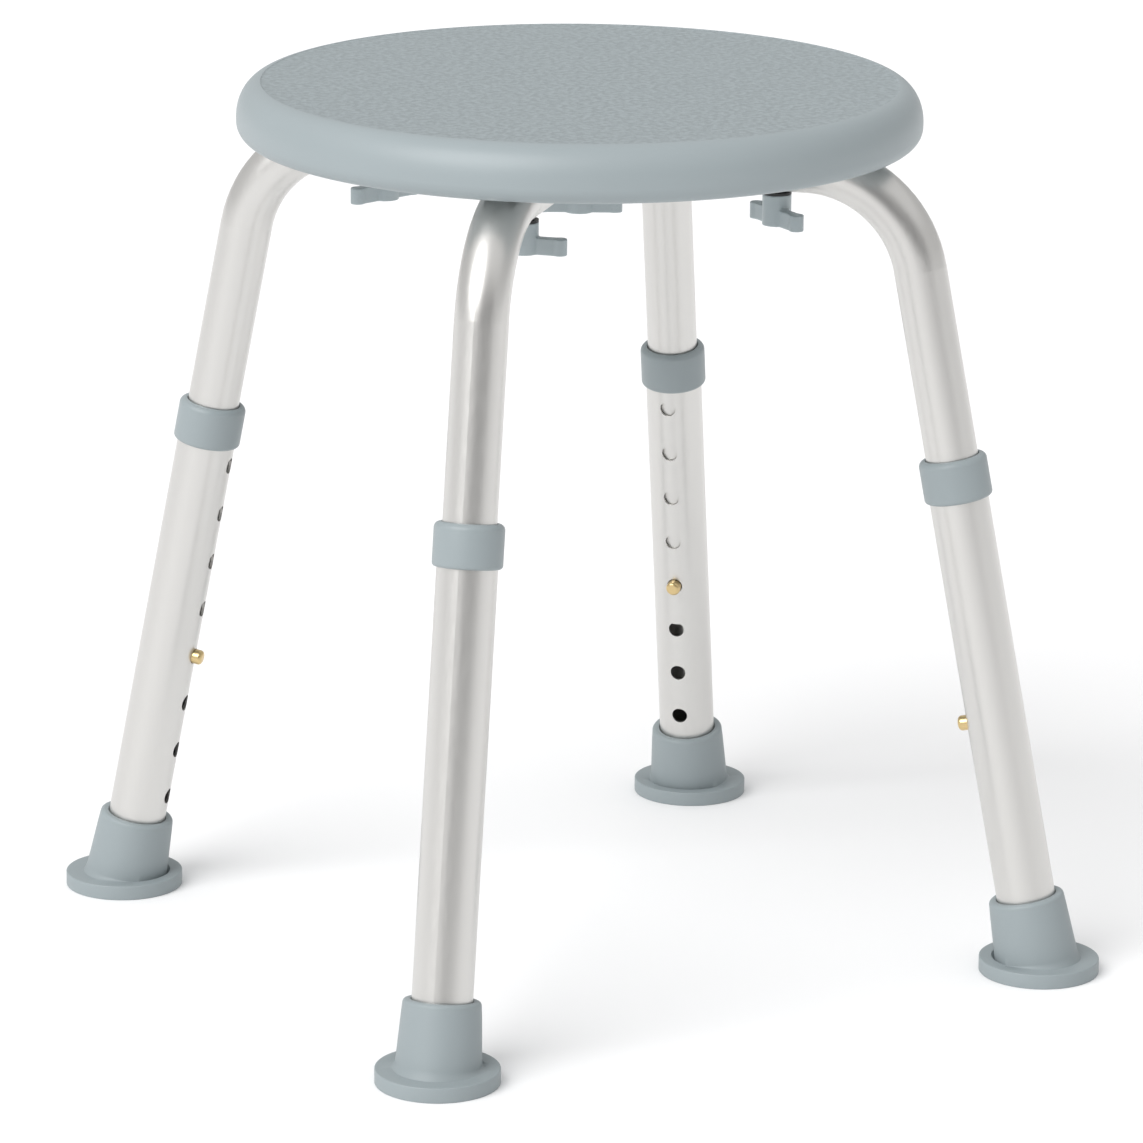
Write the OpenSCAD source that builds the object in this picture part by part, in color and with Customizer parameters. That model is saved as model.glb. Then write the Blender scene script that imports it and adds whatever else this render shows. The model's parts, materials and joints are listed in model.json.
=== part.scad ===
// Round shower stool with four telescoping legs, a crossed tube frame and hand screws under the seat.
// Origin on the floor under the centre of the seat, +Z up, legs on the diagonals.

/* [Seat] */
// Diameter of the seat
seat_d = 330; // [325:1:345]
// Thickness of the seat at its rim
seat_t = 27; // [25:1:30]
// Height of the seat's top above the floor, with the legs in the fifth hole
seat_h = 427; // [423:1:435]
// Thickness of the moulded plastic wall
seat_wall = 2.6; // [2:0.1:3]
// Radius of the rim's upper edge
rim_top_r = 11; // [9:1:12]
// Radius of the rim's lower edge
rim_bottom_r = 8; // [6:1:9]

/* [Frame] */
// Outside diameter of the bent frame tubes
frame_tube_d = 25.4; // [25:0.1:25.6]
// Wall thickness of the frame tubes
frame_wall = 1.25; // [1.2:0.05:1.4]
// Radius of the bends, to the tube's centre line
bend_r = 57; // [54:1:58]
// Angle of each leg from the vertical
splay = 11; // [10.5:0.5:11.5]
// Distance from the seat's axis to each leg's centre line at the floor
foot_r = 236; // [234:1:238]
// How far the frame tubes sit into the underside of the seat
tube_inset = 4.8; // [4:0.2:5.4]
// Distance from the seat's axis to the four outer hand screws
screw_r = 98; // [92:1:100]

/* [Lower legs] */
// Outside diameter of the lower leg tubes
leg_tube_d = 28.6; // [28.5:0.1:28.8]
// Wall thickness of the lower leg tubes
leg_wall = 1.25; // [1.2:0.05:1.3]
// Number of adjustment holes
hole_count = 8; // [6:1:8]
// Distance from one hole to the next
hole_pitch = 25.4; // [24:0.1:25.4]
// Diameter of the adjustment holes
hole_d = 8; // [7.9:0.1:9]
// Hole that holds the snap button, counted from the top
button_hole = 5; // [4:1:5]
// Distance along the leg from the floor to the snap button
button_s = 128; // [126:1:130]
// Diameter of the snap button
button_d = 7.4; // [7:0.1:7.5]
// How far the snap button stands out of the lower leg
button_proud = 4.5; // [3.5:0.5:5]

/* [Collars and feet] */
// Outside diameter of the collar
collar_d = 33; // [32:0.5:35]
// Height of the collar
collar_h = 21; // [18:1:22]
// Diameter of the rubber foot's flange
flange_d = 58.6; // [54:0.2:62]
// Thickness of the rubber foot's flange
flange_t = 7.3; // [6:0.1:8]
// Diameter of the foot's cup at its top
cup_top_d = 36.8; // [36:0.2:38]
// Diameter of the foot's cup where it meets the flange
cup_base_d = 40.6; // [39:0.2:42]
// Distance along the leg from the floor to the top of the cup
cup_top_s = 38.5; // [36:0.5:40]

/* [Hand screws] */
// Diameter of the knob's post
post_d = 14; // [12:0.5:15]
// Height of the knob's post
post_h = 15; // [13:0.5:17]
// Width across the wings
wing_span = 42; // [38:1:46]
// Height of the wings
wing_h = 8; // [6:0.5:9]
// Diameter of the threaded stud
stud_d = 6; // [6:0.1:6.2]

/* [Hidden] */

$fn = 64;
seat_fn = 128;
// How far a cutting shape runs past what it cuts, and how deep joined shapes sink into each other
cut = 1;
eps = 0.01;
// Gaps between parts that fit into one another, and between faces that meet
fit_gap = 0.3;
face_gap = 0.1;

// Directions of the legs about the seat's axis, and the angle each hand screw's wings point
FRONT_LEFT = 0;
FRONT_RIGHT = 1;
REAR_RIGHT = 2;
REAR_LEFT = 3;
CENTRE = 4;
leg_angle = [225, 315, 45, 135];
wing_angle = [-90, -44, 18, 59, -30];

// Heights
rim_bottom_z = seat_h - seat_t;
axis_z = rim_bottom_z + tube_inset - frame_tube_d / 2;
tube_under_z = axis_z - frame_tube_d / 2;

frame_bore_r = frame_tube_d / 2 - frame_wall;

// The bend: where its centre lies, and where the leg's straight stretch starts
turn = 90 - splay;
tangent = bend_r * tan(turn / 2);
bend_x = foot_r - axis_z * tan(splay) - tangent;
bend_z = axis_z - bend_r;
leg_top_s = axis_z / cos(splay) - tangent;
// A drawn bend comes out this much thinner than the straight tube
bend_thinning = 0.1;

// Lower legs, with distances s along the leg from the floor
frame_tail = 23;
frame_end_s = button_s - frame_tail;
tip_floor_s = 9;
washer_t = 1.5;
leg_bottom_s = tip_floor_s + washer_t;
collar_s = 239;
collar_lip = 3;
leg_end_s = collar_s + collar_h - collar_lip;

// Where the two frame tubes cross, each keeps only half of its height
lap_half = frame_tube_d / 2 + fit_gap;
lap_gap = fit_gap / 2;

// The seat's channels for the frame tubes, with drafted sides, and its screw bosses
channel_gap = 0.6;
channel_top_z = axis_z + frame_tube_d / 2 + channel_gap;
channel_mouth_w = 24;
channel_top_w = 16;
channel_end_gap = 4;
outer_bend_r = bend_r + frame_tube_d / 2;
channel_end_r = bend_x + sqrt(outer_bend_r ^ 2 - (outer_bend_r - tube_inset) ^ 2) + channel_end_gap;
boss_d = 18;
insert_d = 10;
insert_h = 13;
insert_z = channel_top_z + fit_gap;
blow_hole_d = 8;
blow_hole_r = 60;

// Hand screws
screw_hole_d = 6.8;
screw_washer_t = 1.2;
screw_washer_z = tube_under_z - face_gap - screw_washer_t;
post_z = screw_washer_z - face_gap - post_h;
post_floor = 4;
stud_gap = 0.05;
stud_bottom_z = post_z + post_floor;
stud_top_z = insert_z + insert_h - 1;
stud_room = 1.5;
wing_t = 5.5;
wing_tip_d = 7;

// Snap button and its spring, with distances x out from the leg's centre line
head_gap = 0.2;
button_tip_x = leg_tube_d / 2 + button_proud;
button_head_d = 9.5;
button_head_t = 1.5;
button_head_x = sqrt(frame_bore_r ^ 2 - (button_head_d / 2) ^ 2) - head_gap;
spring_w = 8;
spring_t = 0.8;
spring_arm = 34;
spring_nose_r = 4;

plastic = [0.65, 0.69, 0.71];
aluminium = [0.86, 0.86, 0.84];
brass = [0.78, 0.62, 0.34];
steel = [0.6, 0.6, 0.62];
dark = [0.12, 0.12, 0.13];

// Puts a shape in a leg's own frame: +Z up along its centre line from the floor, +X outward
module on_leg(leg) {
    rotate([0, 0, leg_angle[leg]])
        translate([foot_r, 0, 0])
            rotate([0, -splay, 0])
                children();
}

// Puts a shape on the axis of a hand screw
module on_screw(screw) {
    if (screw == CENTRE)
        children();
    else
        rotate([0, 0, leg_angle[screw]])
            translate([screw_r, 0, 0])
                children();
}

// Half outline of the seat, held back from its outer surface by an inset
module seat_outline(inset) {
    r = seat_d / 2 - inset;
    z0 = rim_bottom_z + inset;
    z1 = seat_h - inset;
    top_r = rim_top_r - inset;
    bottom_r = rim_bottom_r - inset;
    translate([0, z0])
        square([r - top_r, z1 - z0]);
    translate([0, z0])
        square([r - bottom_r, z1 - z0 - top_r]);
    translate([0, z0 + bottom_r])
        square([r, z1 - z0 - top_r - bottom_r]);
    intersection() {
        translate([r - top_r, z1 - top_r])
            circle(top_r);
        translate([r - top_r, z1 - top_r])
            square(top_r);
    }
    intersection() {
        translate([r - bottom_r, z0 + bottom_r])
            circle(bottom_r);
        translate([r - bottom_r, z0])
            square(bottom_r);
    }
}

// One hollow bend of a frame tube
module frame_bend() {
    translate([bend_x, 0, bend_z])
        rotate([90, 0, 0])
            rotate([0, 0, splay])
                rotate_extrude(angle = turn)
                    translate([bend_r, 0])
                        difference() {
                            circle(d = frame_tube_d - bend_thinning);
                            circle(d = 2 * frame_bore_r - bend_thinning);
                        }
}

// Space that the crossing tube takes out of this one, with an allowance for the closing wall
module lap_cut(wall) {
    translate([-lap_half - wall, -frame_tube_d, -frame_tube_d])
        cube([2 * (lap_half + wall), 2 * frame_tube_d, frame_tube_d + lap_gap + wall]);
}

// Hollow top run along X, with its lower half pressed up where the other tube crosses, and its screw holes
module top_run() {
    difference() {
        rotate([0, 90, 0])
            cylinder(d = frame_tube_d, h = 2 * (bend_x + eps), center = true);
        difference() {
            rotate([0, 90, 0])
                cylinder(d = 2 * frame_bore_r, h = 2 * (bend_x + cut), center = true);
            lap_cut(frame_wall);
        }
        lap_cut(0);
        for (x = [-screw_r, 0, screw_r])
            translate([x, 0, -frame_tube_d])
                cylinder(d = screw_hole_d, h = 2 * frame_tube_d);
    }
}

// Hollow straight stretch down to the tube's open end, with the hole for the snap button
module frame_leg() {
    translate([foot_r, 0, 0])
        rotate([0, -splay, 0])
            difference() {
                translate([0, 0, frame_end_s])
                    cylinder(d = frame_tube_d, h = leg_top_s - frame_end_s + eps);
                translate([0, 0, frame_end_s - cut])
                    cylinder(r = frame_bore_r, h = leg_top_s - frame_end_s + 2 * cut);
                translate([0, 0, button_s])
                    rotate([0, -90, 0])
                        cylinder(d = hole_d, h = frame_tube_d);
            }
}

// One U-shaped frame tube along X. Its lower half is pressed up at the crossing, or its upper half down.
module frame_tube(pressed_down) {
    translate([0, 0, axis_z])
        rotate([pressed_down ? 180 : 0, 0, 0])
            top_run();
    for (side = [0, 180])
        rotate([0, 0, side]) {
            frame_bend();
            frame_leg();
        }
}

module frame_tube_a() {
    color(aluminium)
        rotate([0, 0, leg_angle[REAR_RIGHT]])
            frame_tube(false);
}

module frame_tube_b() {
    color(aluminium)
        rotate([0, 0, leg_angle[REAR_LEFT]])
            frame_tube(true);
}

// The two crossed channels in the seat's underside, enlarged by the wall around them
module channels(wall) {
    mouth = channel_mouth_w / 2 + wall;
    top = channel_top_w / 2 + wall;
    below = rim_bottom_z - seat_wall;
    for (leg = [REAR_RIGHT, REAR_LEFT])
        rotate([90, 0, leg_angle[leg] + 90])
            linear_extrude(2 * (channel_end_r + wall), center = true)
                polygon([
                    [-mouth, below], [mouth, below], [mouth, rim_bottom_z],
                    [top, channel_top_z + wall], [-top, channel_top_z + wall], [-mouth, rim_bottom_z]
                ]);
}

module seat_shell() {
    color(plastic)
        difference() {
            rotate_extrude($fn = seat_fn)
                seat_outline(0);
            difference() {
                rotate_extrude($fn = seat_fn)
                    seat_outline(seat_wall);
                channels(seat_wall);
                for (screw = [0:4])
                    on_screw(screw)
                        translate([0, 0, rim_bottom_z])
                            cylinder(d = boss_d, h = seat_t);
            }
            channels(0);
            for (screw = [0:4])
                on_screw(screw) {
                    translate([0, 0, insert_z])
                        cylinder(d = insert_d, h = insert_h);
                    translate([0, 0, axis_z])
                        cylinder(d = screw_hole_d, h = stud_top_z + stud_room - axis_z);
                }
            translate([0, -blow_hole_r, rim_bottom_z - cut])
                cylinder(d = blow_hole_d, h = seat_wall + 2 * cut);
        }
}

module seat_inserts() {
    color(brass)
        for (screw = [0:4])
            on_screw(screw)
                translate([0, 0, insert_z])
                    difference() {
                        cylinder(d = insert_d, h = insert_h);
                        translate([0, 0, -cut])
                            cylinder(d = stud_d + 2 * stud_gap, h = insert_h + 2 * cut);
                    }
}

module lower_leg(leg) {
    color(aluminium)
        on_leg(leg)
            difference() {
                translate([0, 0, leg_bottom_s])
                    cylinder(d = leg_tube_d, h = leg_end_s - leg_bottom_s);
                translate([0, 0, leg_bottom_s - cut])
                    cylinder(d = leg_tube_d - 2 * leg_wall, h = leg_end_s - leg_bottom_s + 2 * cut);
                for (hole = [1:hole_count])
                    translate([0, 0, button_s + (button_hole - hole) * hole_pitch])
                        rotate([0, -90, 0])
                            cylinder(d = hole_d, h = leg_tube_d);
            }
}

module collar(leg) {
    edge = 2;
    bore = frame_tube_d + 2 * fit_gap;
    color(plastic)
        on_leg(leg)
            translate([0, 0, collar_s])
                difference() {
                    rotate_extrude() {
                        square([collar_d / 2 - edge, collar_h]);
                        translate([0, edge])
                            square([collar_d / 2, collar_h - 2 * edge]);
                        for (z = [edge, collar_h - edge])
                            translate([collar_d / 2 - edge, z])
                                circle(edge);
                    }
                    translate([0, 0, -cut])
                        cylinder(d = leg_tube_d, h = collar_h - collar_lip + cut);
                    cylinder(d = bore, h = collar_h + cut);
                }
}

module rubber_foot(leg) {
    groove_depth = 1;
    groove_w = 2;
    groove_radii = [10, 17, 24];
    edge = 1.2;
    cup_root = 2.5;
    color(plastic)
        difference() {
            union() {
                rotate([0, 0, leg_angle[leg]])
                    translate([foot_r, 0, 0])
                        rotate_extrude() {
                            square([flange_d / 2 - edge, flange_t]);
                            square([flange_d / 2, flange_t - edge]);
                            translate([flange_d / 2 - edge, flange_t - edge])
                                circle(edge);
                        }
                on_leg(leg)
                    translate([0, 0, tip_floor_s - cup_root])
                        cylinder(d1 = cup_base_d, d2 = cup_top_d, h = cup_top_s - tip_floor_s + cup_root);
            }
            on_leg(leg)
                translate([0, 0, tip_floor_s])
                    cylinder(d = leg_tube_d, h = cup_top_s);
            rotate([0, 0, leg_angle[leg]])
                translate([foot_r, 0, 0])
                    for (r = groove_radii)
                        difference() {
                            translate([0, 0, -cut])
                                cylinder(r = r, h = groove_depth + cut);
                            translate([0, 0, -2 * cut])
                                cylinder(r = r - groove_w, h = groove_depth + 3 * cut);
                        }
        }
}

module foot_washer(leg) {
    hole = 8;
    play = 0.4;
    color(steel)
        on_leg(leg)
            translate([0, 0, tip_floor_s])
                difference() {
                    cylinder(d = leg_tube_d - play, h = washer_t);
                    translate([0, 0, -cut])
                        cylinder(d = hole, h = washer_t + 2 * cut);
                }
}

// Brass button with a domed end, and a head that stays inside the frame tube
module snap_button(leg) {
    dome = 1.8;
    color(brass)
        on_leg(leg)
            translate([0, 0, button_s])
                rotate([0, -90, 0]) {
                    translate([0, 0, button_head_x - button_head_t])
                        cylinder(d = button_head_d, h = button_head_t);
                    translate([0, 0, button_head_x - eps])
                        cylinder(d = button_d, h = button_tip_x - dome - button_head_x + eps);
                    translate([0, 0, button_tip_x - dome - eps])
                        rotate_extrude() {
                            square([button_d / 2 - dome, dome]);
                            intersection() {
                                translate([button_d / 2 - dome, 0])
                                    circle(dome);
                                square([button_d / 2, dome]);
                            }
                        }
                }
}

// V-shaped leaf inside the frame tube: a nose above the button and two arms that spread to the tube's walls
module button_spring(leg) {
    reach = button_head_x - button_head_t - head_gap;
    nose_s = button_s + spring_arm;
    arm_l = spring_arm + button_head_d / 2;
    spread = asin((reach - spring_nose_r) / arm_l);
    color(steel)
        on_leg(leg)
            rotate([90, 0, 0])
                translate([0, 0, -spring_w / 2])
                    linear_extrude(spring_w) {
                        for (side = [-1, 1])
                            translate([side * spring_nose_r, nose_s])
                                rotate(side * spread)
                                    translate([side > 0 ? -spring_t : 0, -arm_l])
                                        square([spring_t, arm_l + spring_t / 3]);
                        intersection() {
                            translate([0, nose_s])
                                difference() {
                                    circle(spring_nose_r);
                                    circle(spring_nose_r - spring_t);
                                }
                            translate([-spring_nose_r, nose_s])
                                square([2 * spring_nose_r, spring_nose_r]);
                        }
                    }
}

module wing_knob(screw) {
    reach = (wing_span - wing_tip_d) / 2;
    color(plastic)
        on_screw(screw)
            translate([0, 0, post_z])
                difference() {
                    union() {
                        cylinder(d = post_d, h = post_h);
                        rotate([0, 0, wing_angle[screw]]) {
                            translate([-reach, -wing_t / 2, 0])
                                cube([2 * reach, wing_t, wing_h]);
                            for (side = [-1, 1])
                                translate([side * reach, 0, 0])
                                    cylinder(d = wing_tip_d, h = wing_h);
                        }
                    }
                    translate([0, 0, stud_bottom_z - post_z])
                        cylinder(d = stud_d, h = post_h);
                }
}

module screw_stud(screw) {
    color(steel)
        on_screw(screw)
            translate([0, 0, stud_bottom_z])
                cylinder(d = stud_d, h = stud_top_z - stud_bottom_z);
}

module screw_washer(screw) {
    color(dark)
        on_screw(screw)
            translate([0, 0, screw_washer_z])
                difference() {
                    cylinder(d = post_d, h = screw_washer_t);
                    translate([0, 0, -cut])
                        cylinder(d = screw_hole_d, h = screw_washer_t + 2 * cut);
                }
}

seat_shell();
seat_inserts();
frame_tube_a();
frame_tube_b();
lower_leg(FRONT_LEFT);  // lower_leg_front_left
lower_leg(FRONT_RIGHT);  // lower_leg_front_right
lower_leg(REAR_RIGHT);  // lower_leg_rear_right
lower_leg(REAR_LEFT);  // lower_leg_rear_left
collar(FRONT_LEFT);  // collar_front_left
collar(FRONT_RIGHT);  // collar_front_right
collar(REAR_RIGHT);  // collar_rear_right
collar(REAR_LEFT);  // collar_rear_left
rubber_foot(FRONT_LEFT);  // rubber_foot_front_left
rubber_foot(FRONT_RIGHT);  // rubber_foot_front_right
rubber_foot(REAR_RIGHT);  // rubber_foot_rear_right
rubber_foot(REAR_LEFT);  // rubber_foot_rear_left
foot_washer(FRONT_LEFT);  // foot_washer_front_left
foot_washer(FRONT_RIGHT);  // foot_washer_front_right
foot_washer(REAR_RIGHT);  // foot_washer_rear_right
foot_washer(REAR_LEFT);  // foot_washer_rear_left
snap_button(FRONT_LEFT);  // snap_button_front_left
snap_button(FRONT_RIGHT);  // snap_button_front_right
snap_button(REAR_RIGHT);  // snap_button_rear_right
snap_button(REAR_LEFT);  // snap_button_rear_left
button_spring(FRONT_LEFT);  // button_spring_front_left
button_spring(FRONT_RIGHT);  // button_spring_front_right
button_spring(REAR_RIGHT);  // button_spring_rear_right
button_spring(REAR_LEFT);  // button_spring_rear_left
wing_knob(FRONT_LEFT);  // wing_knob_front_left
wing_knob(FRONT_RIGHT);  // wing_knob_front_right
wing_knob(REAR_RIGHT);  // wing_knob_rear_right
wing_knob(REAR_LEFT);  // wing_knob_rear_left
wing_knob(CENTRE);  // wing_knob_centre
screw_stud(FRONT_LEFT);  // screw_stud_front_left
screw_stud(FRONT_RIGHT);  // screw_stud_front_right
screw_stud(REAR_RIGHT);  // screw_stud_rear_right
screw_stud(REAR_LEFT);  // screw_stud_rear_left
screw_stud(CENTRE);  // screw_stud_centre
screw_washer(FRONT_LEFT);  // screw_washer_front_left
screw_washer(FRONT_RIGHT);  // screw_washer_front_right
screw_washer(REAR_RIGHT);  // screw_washer_rear_right
screw_washer(REAR_LEFT);  // screw_washer_rear_left
screw_washer(CENTRE);  // screw_washer_centre
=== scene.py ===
import json
import math

import bmesh
import bpy
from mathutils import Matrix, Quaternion, Vector

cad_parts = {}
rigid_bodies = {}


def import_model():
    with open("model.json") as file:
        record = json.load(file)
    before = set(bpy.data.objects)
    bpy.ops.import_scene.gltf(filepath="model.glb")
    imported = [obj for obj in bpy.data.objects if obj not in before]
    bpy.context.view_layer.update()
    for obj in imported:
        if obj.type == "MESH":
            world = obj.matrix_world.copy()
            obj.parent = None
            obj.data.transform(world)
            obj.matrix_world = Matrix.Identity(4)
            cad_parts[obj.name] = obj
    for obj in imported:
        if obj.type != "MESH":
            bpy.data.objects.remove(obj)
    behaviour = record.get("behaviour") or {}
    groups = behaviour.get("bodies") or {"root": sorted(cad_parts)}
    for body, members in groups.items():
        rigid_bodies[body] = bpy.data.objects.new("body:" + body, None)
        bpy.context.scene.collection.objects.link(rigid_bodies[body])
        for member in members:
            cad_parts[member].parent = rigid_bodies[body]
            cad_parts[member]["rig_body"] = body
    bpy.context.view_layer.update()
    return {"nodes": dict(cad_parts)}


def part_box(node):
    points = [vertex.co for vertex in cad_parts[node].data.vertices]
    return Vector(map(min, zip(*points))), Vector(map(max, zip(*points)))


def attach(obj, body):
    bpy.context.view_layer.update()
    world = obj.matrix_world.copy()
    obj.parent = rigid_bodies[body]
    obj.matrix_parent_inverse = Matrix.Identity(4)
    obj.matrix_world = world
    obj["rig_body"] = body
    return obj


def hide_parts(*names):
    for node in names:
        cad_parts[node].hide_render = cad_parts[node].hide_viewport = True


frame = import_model()
nodes = frame["nodes"]

MM = 0.001
UP = Vector((0, 0, 1))
LEGS = ["front_left", "front_right", "rear_right", "rear_left"]
SCREWS = LEGS + ["centre"]

# Seat
seat_low, seat_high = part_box("seat_shell")
seat_r = (seat_high.x - seat_low.x) / 2
seat_top_z = seat_high.z
seat_bottom_z = seat_low.z
rim_top_w = 12.5 * MM
rim_top_h = 17 * MM
rim_bottom_r = 8 * MM
screw_hole_r = 3.4 * MM
blow_hole_r = 4 * MM
blow_hole_edge = 0.6 * MM
blow_hole_place = Vector((0, -60 * MM, 0))
hole_depth = 19 * MM
cutter_overshoot = 1 * MM

# Textured top, sunk a little inside the smooth rim, with an eased step between the two
texture_r = 0.927 * seat_r
texture_step = 0.35 * MM
step_w = 0.35 * MM
step_edge = 0.6 * MM
step_rise_low = 0.05 * MM
step_rise_high = 0.27 * MM

# Channels in the seat's underside, with half widths at the mouth and at the top
channel_mouth = 12 * MM
channel_top = 8 * MM
channel_depth = 5.4 * MM
channel_end_r = 142.2 * MM
channel_mouth_edge = 1.2 * MM
channel_angles = [45, 135]

# Rubber foot: radii, and heights s along the leg's axis from the floor
flange_t = 7.3 * MM
flange_edge = 0.6 * MM
sole_edge = 0.5 * MM
cup_top_r = 18.4 * MM
cup_base_r = 20.3 * MM
cup_top_s = 38.5 * MM
cup_bore_r = 14.35 * MM
cup_mouth_r = 14.6 * MM
cup_mouth_edge = 0.6 * MM
cup_floor_s = 9 * MM
cup_fillet = 1.6 * MM
cup_lip = 1.9 * MM
tread_rings = [8 * MM, 15 * MM, 22 * MM]
tread_w = 2 * MM
tread_depth = 1 * MM

# Collar
collar_r = 16.5 * MM
collar_h = 21 * MM
collar_lip_h = 3 * MM
collar_bore_r = 13 * MM
collar_mouth_edge = 0.4 * MM
collar_top_edge = 3 * MM
collar_bottom_edge = 1.8 * MM
collar_inside_r = 14.32 * MM

# Hand screw's softened skin
knob_voxel = 0.3 * MM
knob_soft_rounds = 10

# Points round each kind of turned piece. An edge above SHARP degrees stays sharp on turned pieces,
# and one above SHARP_CAD on the CAD nodes and the seat.
RING = 96
SEAT_RING = 256
HOLE_RING = 48
SHARP = 35
SHARP_CAD = 30

# Colours
PLASTIC = (0.312, 0.357, 0.372)
BLACK = (0.02, 0.02, 0.022)
ALUMINIUM = (0.685, 0.675, 0.655)
BRASS = (0.72, 0.55, 0.28)
STEEL = (0.6, 0.6, 0.61)
FLOOR = (0.93, 0.93, 0.935)
WHITE = (1, 1, 1, 1)

# Places of the colour sockets on Blender's Mix node
MIX_FACTOR = 0
MIX_A = 6
MIX_B = 7
MIX_RESULT = 2


# ---------------------------------------------------------------- materials
def new_material(name, colour, roughness, metallic=0.0):
    """A plain Principled material. Returns the material, its shader node and its node tree."""
    made = bpy.data.materials.new(name)
    made.use_nodes = True
    tree = made.node_tree
    shader = tree.nodes["Principled BSDF"]
    shader.inputs["Base Color"].default_value = (*colour, 1)
    shader.inputs["Roughness"].default_value = roughness
    shader.inputs["Metallic"].default_value = metallic
    return made, shader, tree


def add_noise(tree, scale, detail, stretch=(1, 1, 1)):
    """3-D noise in the part's own frame, so that it stays put as the part moves."""
    place = tree.nodes.new("ShaderNodeTexCoord")
    size = tree.nodes.new("ShaderNodeMapping")
    size.inputs["Scale"].default_value = stretch
    noise = tree.nodes.new("ShaderNodeTexNoise")
    noise.inputs["Scale"].default_value = scale
    noise.inputs["Detail"].default_value = detail
    tree.links.new(place.outputs["Object"], size.inputs["Vector"])
    tree.links.new(size.outputs["Vector"], noise.inputs["Vector"])
    return noise.outputs["Fac"]


def add_range(tree, value, low, high, value_low=0.0, value_high=1.0):
    """Spreads a value, by default from 0 to 1, between low and high."""
    spread = tree.nodes.new("ShaderNodeMapRange")
    spread.inputs["From Min"].default_value = value_low
    spread.inputs["From Max"].default_value = value_high
    spread.inputs["To Min"].default_value = low
    spread.inputs["To Max"].default_value = high
    tree.links.new(value, spread.inputs["Value"])
    return spread.outputs["Result"]


def add_mix(tree, value, colour_a, colour_b):
    """Mixes two colours by a value."""
    mix = tree.nodes.new("ShaderNodeMix")
    mix.data_type = "RGBA"
    mix.inputs[MIX_A].default_value = (*colour_a, 1)
    mix.inputs[MIX_B].default_value = (*colour_b, 1)
    tree.links.new(value, mix.inputs[MIX_FACTOR])
    return mix.outputs[MIX_RESULT]


def add_product(tree, colour_a, colour_b):
    """Multiplies one colour output by another."""
    product = tree.nodes.new("ShaderNodeMix")
    product.data_type = "RGBA"
    product.blend_type = "MULTIPLY"
    product.inputs[MIX_FACTOR].default_value = 1
    tree.links.new(colour_a, product.inputs[MIX_A])
    tree.links.new(colour_b, product.inputs[MIX_B])
    return product.outputs[MIX_RESULT]


def add_bump(tree, shader, height, distance, strength):
    """Bump from a height of 0 to 1, where 1 is the distance in metres."""
    bump = tree.nodes.new("ShaderNodeBump")
    bump.inputs["Strength"].default_value = strength
    bump.inputs["Distance"].default_value = distance
    tree.links.new(height, bump.inputs["Height"])
    tree.links.new(bump.outputs["Normal"], shader.inputs["Normal"])


def shade(colour, factor):
    return tuple(c * factor for c in colour)


def moulded_plastic(name, colour, roughness, grain=900.0):
    """Satin moulded plastic: a fine matt grain, and a very faint variation of colour and gloss."""
    made, shader, tree = new_material(name, colour, roughness)
    fine = add_noise(tree, grain, detail=2)
    cloud = add_noise(tree, scale=14, detail=3)
    tint = add_mix(tree, cloud, shade(colour, 0.97), shade(colour, 1.03))
    gloss = add_range(tree, fine, roughness - 0.05, roughness + 0.05)
    tree.links.new(tint, shader.inputs["Base Color"])
    tree.links.new(gloss, shader.inputs["Roughness"])
    add_bump(tree, shader, fine, distance=0.05 * MM, strength=0.25)
    return made


def seat_top_plastic(name, colour, roughness):
    """The seat's plastic where it is textured against slipping: a leathery stipple under a faint cloud.
    The stipple's pits are painted darker and its crowns lighter, as painted shade and highlight of the
    grain.
    """
    made, shader, tree = new_material(name, colour, roughness)
    stipple = add_noise(tree, scale=340, detail=4)
    cloud = add_noise(tree, scale=60, detail=3)
    pebbles = add_range(tree, stipple, 0, 1, value_low=0.38, value_high=0.62)
    # Painted shade and highlight: the colour follows the stipple's height, darker in its pits and lighter
    # on its crowns.
    stipple_painted_shade = add_mix(tree, pebbles, shade(colour, 0.89), shade(colour, 1.15))
    clouded = add_mix(tree, cloud, shade((1, 1, 1), 0.97), shade((1, 1, 1), 1.02))
    gloss = add_range(tree, stipple, roughness - 0.06, roughness + 0.08)
    tree.links.new(add_product(tree, stipple_painted_shade, clouded), shader.inputs["Base Color"])
    tree.links.new(gloss, shader.inputs["Roughness"])
    add_bump(tree, shader, pebbles, distance=0.25 * MM, strength=0.6)
    return made


def satin_aluminium(name, colour, roughness):
    """Satin anodised tube: drawn lines along the tube and a fine matt grain."""
    made, shader, tree = new_material(name, colour, roughness, metallic=0.9)
    lines = add_noise(tree, scale=700, detail=2, stretch=(1, 1, 0.02))
    fine = add_noise(tree, scale=1500, detail=2)
    gloss = add_range(tree, lines, roughness - 0.05, roughness + 0.05)
    tint = add_mix(tree, lines, shade(colour, 0.985), shade(colour, 1.01))
    tree.links.new(gloss, shader.inputs["Roughness"])
    tree.links.new(tint, shader.inputs["Base Color"])
    add_bump(tree, shader, fine, distance=0.01 * MM, strength=0.2)
    return made


def plain_metal(name, colour, roughness):
    """Plated or turned metal with a faint grain."""
    made, shader, tree = new_material(name, colour, roughness, metallic=1.0)
    fine = add_noise(tree, scale=1200, detail=2)
    gloss = add_range(tree, fine, roughness - 0.06, roughness + 0.06)
    tint = add_mix(tree, fine, shade(colour, 0.94), colour)
    tree.links.new(gloss, shader.inputs["Roughness"])
    tree.links.new(tint, shader.inputs["Base Color"])
    add_bump(tree, shader, fine, distance=0.01 * MM, strength=0.3)
    return made


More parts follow.
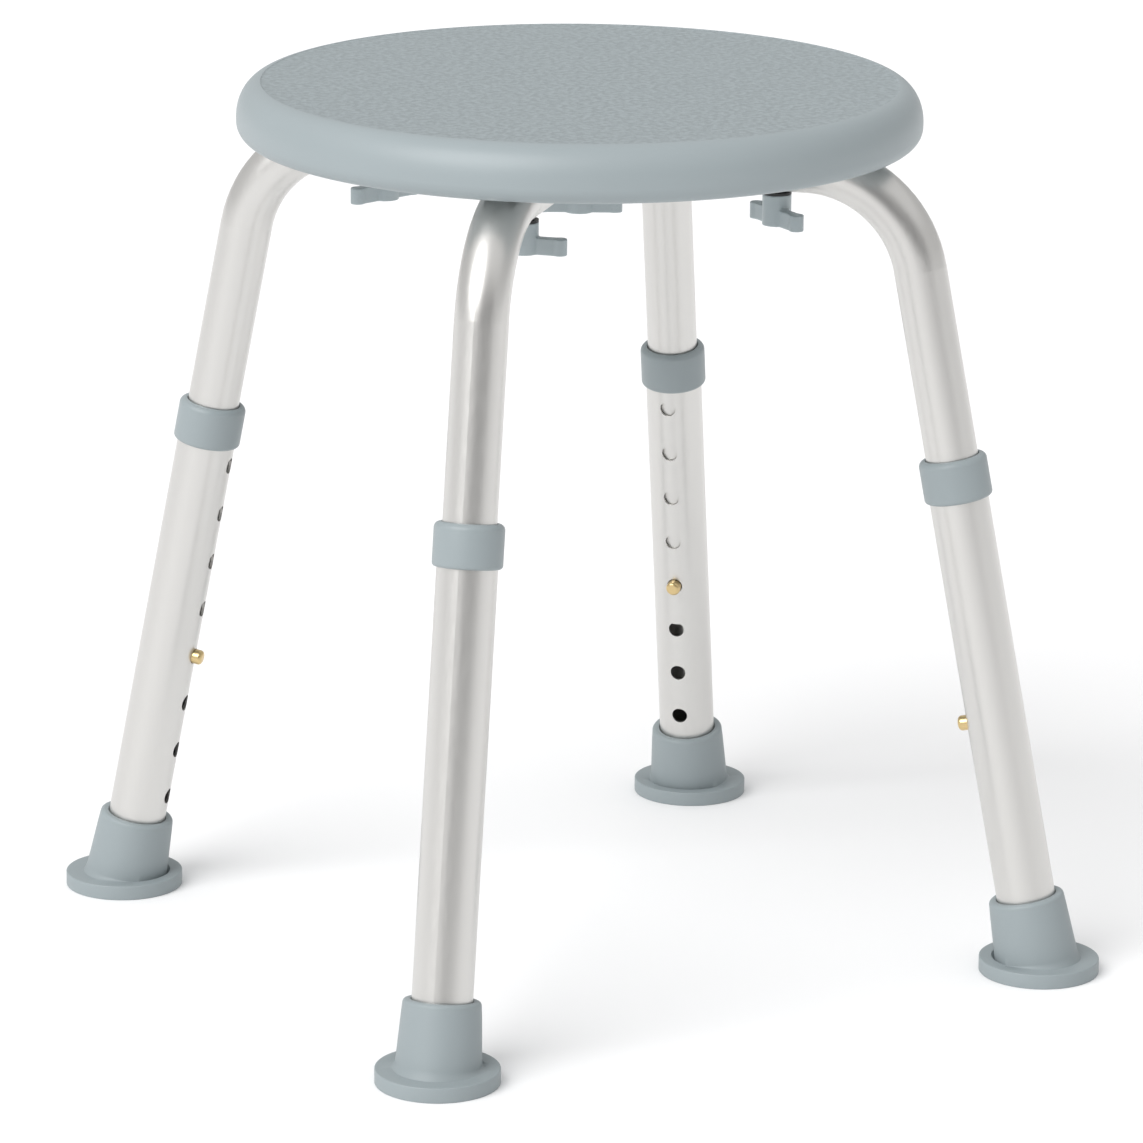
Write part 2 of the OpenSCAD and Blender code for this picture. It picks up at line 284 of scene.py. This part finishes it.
rim_plastic = moulded_plastic("SeatPlastic", PLASTIC, roughness=0.42)
top_plastic = seat_top_plastic("SeatTopPlastic", shade(PLASTIC, 0.915), roughness=0.52)
collar_plastic = moulded_plastic("CollarPlastic", shade(PLASTIC, 0.95), roughness=0.42)
# Painted light: the hand screws use the seat's plastic lightened 1.35 times, to offset the shade they sit
# in under the seat.
knob_plastic_painted_fill = moulded_plastic("KnobPlasticPaintedFill", shade(PLASTIC, 1.35), roughness=0.4)
foot_rubber = moulded_plastic("FootRubber", shade(PLASTIC, 0.93), roughness=0.5, grain=1100.0)
tube_metal = satin_aluminium("SatinAluminium", ALUMINIUM, roughness=0.33)
brass_metal = plain_metal("Brass", BRASS, roughness=0.3)
steel_metal = plain_metal("Steel", STEEL, roughness=0.3)
washer_black = moulded_plastic("WasherBlack", BLACK, roughness=0.5)


def dress(obj, *materials):
    """Gives an object its materials. Clearing the old ones also resets each face's material."""
    if len(obj.data.materials):
        obj.data.materials.clear()
    for m in materials:
        obj.data.materials.append(m)


# ---------------------------------------------------------------- mesh helpers
def add_object(name, data):
    obj = bpy.data.objects.new(name, data)
    bpy.context.scene.collection.objects.link(obj)
    return obj


def add_mesh(name, bm):
    """Makes an object of a bmesh, with its faces turned outward, and frees the bmesh."""
    bmesh.ops.recalc_face_normals(bm, faces=bm.faces)
    mesh = bpy.data.meshes.new(name)
    bm.to_mesh(mesh)
    bm.free()
    return add_object(name, mesh)


def arc(centre_r, centre_z, radius, start, end, steps=8):
    """Points (r, z) on an arc, from one angle to another in degrees, 0 outward and 90 up."""
    made = []
    for i in range(steps + 1):
        a = math.radians(start + (end - start) * i / steps)
        made.append((centre_r + radius * math.cos(a), centre_z + radius * math.sin(a)))
    return made


def loft(name, rings, count, material_of=None):
    """A closed skin through circles. Each ring is (centre, axis, radius). A radius of 0 closes an end."""
    bm = bmesh.new()
    loops = []
    for centre, axis, radius in rings:
        if radius <= 0:
            loops.append([bm.verts.new(centre)])
            continue
        turn = UP.rotation_difference(axis)
        loop = []
        for i in range(count):
            a = 2 * math.pi * i / count
            spoke = Vector((radius * math.cos(a), radius * math.sin(a), 0))
            loop.append(bm.verts.new(centre + turn @ spoke))
        loops.append(loop)
    for k in range(len(loops) - 1):
        low, high = loops[k], loops[k + 1]
        index = material_of(k) if material_of else 0
        for i in range(count):
            j = (i + 1) % count
            if len(low) == 1:
                corners = [low[0], high[j], high[i]]
            elif len(high) == 1:
                corners = [low[i], low[j], high[0]]
            else:
                corners = [low[i], low[j], high[j], high[i]]
            bm.faces.new(corners).material_index = index
    if len(loops[0]) > 1:
        low, high = loops[-1], loops[0]
        for i in range(count):
            j = (i + 1) % count
            bm.faces.new([low[i], low[j], high[j], high[i]])
    return add_mesh(name, bm)


def lathe(name, points, count, base=Vector((0, 0, 0)), axis=UP, material_of=None):
    """A skin turned about an axis through base, from points (r, z)."""
    rings = [(base + axis * z, axis, r) for r, z in points]
    return loft(name, rings, count, material_of)


def make_prism(name, outline, length):
    """A prism along X, from its outline (y, z)."""
    bm = bmesh.new()
    near = [bm.verts.new((-length / 2, y, z)) for y, z in outline]
    far = [bm.verts.new((length / 2, y, z)) for y, z in outline]
    bm.faces.new(near)
    bm.faces.new(far)
    for i in range(len(outline)):
        j = (i + 1) % len(outline)
        bm.faces.new([near[i], near[j], far[j], far[i]])
    return add_mesh(name, bm)


def smooth(obj, angle=SHARP):
    """Smooth shading, with edges sharper than the angle kept."""
    obj.data.shade_smooth()
    obj.data.set_sharp_from_angle(angle=math.radians(angle))


def apply_modifiers(obj):
    """Turns an object's modifiers into plain mesh."""
    bpy.context.view_layer.update()
    shown = obj.evaluated_get(bpy.context.evaluated_depsgraph_get())
    made = bpy.data.meshes.new_from_object(shown)
    obj.modifiers.clear()
    obj.data = made


def cut_away(obj, cutters):
    """Cuts the cutters out of an object and removes them."""
    for cutter in cutters:
        step = obj.modifiers.new("cut", "BOOLEAN")
        step.operation = "DIFFERENCE"
        step.solver = "EXACT"
        step.object = cutter
    apply_modifiers(obj)
    for cutter in cutters:
        bpy.data.objects.remove(cutter)


def stand_in(obj, node):
    """obj is shown in place of a CAD node and moves with that node's body."""
    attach(obj, nodes[node]["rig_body"])
    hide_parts(node)


# ---------------------------------------------------------------- pieces
def leg_line(leg):
    """Point on the floor under a leg, and the leg's direction upward."""
    low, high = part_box("rubber_foot_" + leg)
    foot = Vector(((low.x + high.x) / 2, (low.y + high.y) / 2, 0))
    low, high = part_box("lower_leg_" + leg)
    middle = (low + high) / 2
    return foot, (middle - foot).normalized()


def make_foot(leg):
    """Rubber foot: a flat flange with a grooved sole, and a cup that leans with the leg."""
    foot, axis = leg_line(leg)
    low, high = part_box("rubber_foot_" + leg)
    flange_r = (high.x - low.x) / 2

    def flat(points):
        return [(foot + UP * z, UP, r) for r, z in points]

    def leaning(points):
        return [(foot + axis * s, axis, r) for r, s in points]

    rings = flat([(0.0, 0)])
    for r in tread_rings:
        rings += flat([(r, 0), (r, tread_depth), (r + tread_w, tread_depth), (r + tread_w, 0)])
    rings += flat(arc(flange_r - sole_edge, sole_edge, sole_edge, -90, 0, 4))
    rings += flat(arc(flange_r - flange_edge, flange_t - flange_edge, flange_edge, 0, 90, 6))
    # Fillet that turns from the flat flange to the leaning cup
    fillet_steps = 8
    for i in range(fillet_steps + 1):
        t = i / fillet_steps
        a = math.radians(90 * t)
        lean = UP.lerp(axis, t).normalized()
        r = cup_base_r + cup_fillet * (1 - math.sin(a))
        s = flange_t + cup_fillet * (1 - math.cos(a))
        rings.append((foot + axis * s / axis.z * (1 - t) + axis * s * t, lean, r))
    slope = (cup_base_r - cup_top_r) / (cup_top_s - flange_t)
    wall_low = flange_t + cup_fillet
    wall_high = cup_top_s - cup_lip
    wall_steps = 6
    for i in range(1, wall_steps):
        s = wall_low + (wall_high - wall_low) * i / wall_steps
        rings += leaning([(cup_base_r - slope * (s - flange_t), s)])
    rings += leaning(arc(cup_top_r - cup_lip, cup_top_s - cup_lip, cup_lip, 0, 90, 8))
    mouth = arc(cup_mouth_r + cup_mouth_edge, cup_top_s - cup_mouth_edge, cup_mouth_edge, 90, 180, 5)
    rings += leaning(mouth)
    rings += leaning([(cup_bore_r, cup_floor_s), (0.0, cup_floor_s)])
    obj = loft("foot_" + leg, rings, RING)
    dress(obj, foot_rubber)
    smooth(obj)
    stand_in(obj, "rubber_foot_" + leg)


def make_collar(leg):
    """Moulded collar at the top of a lower leg: rounded edges, and a lip over the tube's end."""
    low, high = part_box("collar_" + leg)
    middle = (low + high) / 2
    axis = leg_line(leg)[1]
    top = collar_h / 2
    lip_z = top - collar_lip_h
    mouth_z = top - collar_mouth_edge
    points = [(collar_bore_r, lip_z)]
    points += arc(collar_bore_r + collar_mouth_edge, mouth_z, collar_mouth_edge, 180, 90, 3)
    points += arc(collar_r - collar_top_edge, top - collar_top_edge, collar_top_edge, 90, 0, 10)
    points += arc(collar_r - collar_bottom_edge, -top + collar_bottom_edge, collar_bottom_edge, 0, -90, 8)
    points += [(collar_inside_r, -top), (collar_inside_r, lip_z)]
    obj = lathe("collar_ring_" + leg, points, RING, middle, axis)
    dress(obj, collar_plastic)
    smooth(obj)
    stand_in(obj, "collar_" + leg)


def make_knob(screw):
    """Moulded hand screw: the CAD knob with its edges and inner corners softened."""
    node = "wing_knob_" + screw
    obj = add_object("hand_knob_" + screw, nodes[node].data.copy())
    skin = obj.modifiers.new("skin", "REMESH")
    skin.mode = "VOXEL"
    skin.voxel_size = knob_voxel
    soften = obj.modifiers.new("soften", "SMOOTH")
    soften.factor = 0.5
    soften.iterations = knob_soft_rounds
    apply_modifiers(obj)
    dress(obj, knob_plastic_painted_fill)
    obj.data.shade_smooth()
    stand_in(obj, node)


def seat_top_profile():
    """Outline of the textured top, from the centre out to the edge of the smooth rim."""
    low_top = seat_top_z - texture_step
    steps = 12
    points = [(texture_r * i / steps, low_top) for i in range(steps)]
    points += [(texture_r - step_edge, low_top), (texture_r, low_top + step_rise_low)]
    points += [(texture_r + step_w, low_top + step_rise_high)]
    return points


def seat_rim_profile():
    """Outline of the rest of the seat: the elliptical upper rim, the round lower rim and the underside."""
    rim_start = 86
    rim_steps = 28
    points = []
    for r, z in arc(0, 0, 1, rim_start, 0, rim_steps):
        points.append((seat_r - rim_top_w * (1 - r), seat_top_z - rim_top_h * (1 - z)))
    points += arc(seat_r - rim_bottom_r, seat_bottom_z + rim_bottom_r, rim_bottom_r, 0, -90, 16)
    steps = 12
    flat_r = seat_r - rim_bottom_r
    points += [(flat_r * (steps - i) / steps, seat_bottom_z) for i in range(1, steps)]
    points.append((0.0, seat_bottom_z))
    return points


def channel_cutter(angle):
    """Cutter for one channel: drafted sides, with an eased edge where they meet the seat's underside."""
    below = seat_bottom_z - 2 * cutter_overshoot
    ease = channel_mouth_edge
    side = [(channel_mouth + ease, below), (channel_mouth + ease, seat_bottom_z)]
    for a in (22, 45, 67, 90):
        a = math.radians(a)
        side.append((channel_mouth + ease * (1 - math.sin(a)), seat_bottom_z + ease * (1 - math.cos(a))))
    side.append((channel_top, seat_bottom_z + channel_depth))
    outline = side + [(-y, z) for y, z in reversed(side)]
    cutter = make_prism("channel_cutter", outline, 2 * channel_end_r)
    cutter.rotation_euler = (0, 0, math.radians(angle))
    return cutter


def hole_cutter(place, radius, edge=0.0):
    """Cutter for a round hole in the seat's underside, with a bevelled edge if one is given."""
    below = seat_bottom_z - cutter_overshoot
    points = [(0.0, below), (radius + edge, below)]
    if edge:
        points += [(radius + edge, seat_bottom_z), (radius, seat_bottom_z + edge)]
    points += [(radius, seat_bottom_z + hole_depth), (0.0, seat_bottom_z + hole_depth)]
    return lathe("hole_cutter", points, HOLE_RING, place)


def make_seat():
    """Blow-moulded seat: textured top inside a smooth rim, and crossed channels in the flat underside."""
    top = seat_top_profile()
    textured = len(top) - 1
    profile = top + seat_rim_profile()
    obj = lathe("seat", profile, SEAT_RING, material_of=lambda k: 1 if k < textured else 0)
    dress(obj, rim_plastic, top_plastic)
    cutters = [channel_cutter(angle) for angle in channel_angles]
    for screw in SCREWS:
        low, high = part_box("screw_stud_" + screw)
        place = Vector(((low.x + high.x) / 2, (low.y + high.y) / 2, 0))
        cutters.append(hole_cutter(place, screw_hole_r))
    cutters.append(hole_cutter(blow_hole_place, blow_hole_r, blow_hole_edge))
    cut_away(obj, cutters)
    smooth(obj, SHARP_CAD)
    stand_in(obj, "seat_shell")


make_seat()
for leg in LEGS:
    make_foot(leg)
    make_collar(leg)
    dress(nodes["lower_leg_" + leg], tube_metal)
    dress(nodes["snap_button_" + leg], brass_metal)
    dress(nodes["button_spring_" + leg], steel_metal)
    dress(nodes["foot_washer_" + leg], steel_metal)
for screw in SCREWS:
    make_knob(screw)
    dress(nodes["screw_stud_" + screw], steel_metal)
    dress(nodes["screw_washer_" + screw], washer_black)
dress(nodes["frame_tube_a"], tube_metal)
dress(nodes["frame_tube_b"], tube_metal)
dress(nodes["seat_inserts"], brass_metal)
for node in nodes.values():
    smooth(node, SHARP_CAD)


# ---------------------------------------------------------------- stage
# The lights and the dark patch are placed from the camera's azimuth, in degrees
camera_azimuth = -29.79


def direction(azimuth, elevation):
    """Unit vector from the part toward a viewpoint given in degrees."""
    azimuth = math.radians(azimuth)
    elevation = math.radians(elevation)
    return Vector((
        math.sin(azimuth) * math.cos(elevation),
        -math.cos(azimuth) * math.cos(elevation),
        math.sin(elevation),
    ))


def look_along(obj, back):
    """Turns a camera or a light so that its back points along a direction."""
    obj.rotation_mode = "QUATERNION"
    obj.rotation_quaternion = (-back).to_track_quat("-Z", "Y")


def make_floor():
    """White floor, large enough to fill the picture."""
    half = 12.0
    mesh = bpy.data.meshes.new("floor")
    corners = [(-half, -half, 0), (half, -half, 0), (half, half, 0), (-half, half, 0)]
    mesh.from_pydata(corners, [], [(0, 1, 2, 3)])
    obj = add_object("floor", mesh)
    made, shader = new_material("Floor", FLOOR, roughness=0.8)[:2]
    shader.inputs["Specular IOR Level"].default_value = 0.2
    shader.inputs["Emission Color"].default_value = WHITE
    shader.inputs["Emission Strength"].default_value = 0.04
    dress(obj, made)


def make_sun(name, azimuth, elevation, strength, angle):
    """A distant soft light. The angle is its width in the sky, in degrees."""
    data = bpy.data.lights.new(name, "SUN")
    data.energy = strength
    data.angle = math.radians(angle)
    look_along(add_object(name, data), direction(azimuth, elevation))


def make_world(azimuth, elevation, bright, dark, inner, outer):
    """Even white surroundings with one soft dark patch, the unlit studio in front of the part."""
    world = bpy.data.worlds.new("studio")
    bpy.context.scene.world = world
    world.use_nodes = True
    tree = world.node_tree
    place = tree.nodes.new("ShaderNodeTexCoord")
    facing = tree.nodes.new("ShaderNodeVectorMath")
    facing.operation = "DOT_PRODUCT"
    facing.inputs[1].default_value = direction(azimuth, elevation)
    patch = tree.nodes.new("ShaderNodeMapRange")
    patch.interpolation_type = "SMOOTHSTEP"
    patch.inputs["From Min"].default_value = math.cos(math.radians(outer))
    patch.inputs["From Max"].default_value = math.cos(math.radians(inner))
    patch.inputs["To Min"].default_value = bright
    patch.inputs["To Max"].default_value = dark
    background = tree.nodes["Background"]
    background.inputs["Color"].default_value = WHITE
    tree.links.new(place.outputs["Generated"], facing.inputs[0])
    tree.links.new(facing.outputs["Value"], patch.inputs["Value"])
    tree.links.new(patch.outputs["Result"], background.inputs["Strength"])


def make_camera():
    """Camera fitted to the photograph's view. Angles are in degrees."""
    elevation = 15.352
    roll = 0.502
    distance = 3.0075
    aim = Vector((-0.0018, 0.0010, 0.18277))
    back = direction(camera_azimuth, elevation)
    data = bpy.data.cameras.new("camera")
    data.lens = 193.18
    data.sensor_width = 36
    data.clip_end = 60
    obj = add_object("camera", data)
    obj.location = aim + back * distance
    look_along(obj, back)
    obj.rotation_quaternion = obj.rotation_quaternion @ Quaternion(UP, math.radians(roll))
    bpy.context.scene.camera = obj


make_floor()
make_camera()
make_sun("key", camera_azimuth - 42, elevation=40, strength=2.1, angle=45)
make_sun("top", camera_azimuth, elevation=80, strength=0.5, angle=120)
make_world(camera_azimuth + 14, elevation=0, bright=0.6, dark=0.14, inner=20, outer=48)
bpy.context.scene.view_settings.view_transform = "Standard"
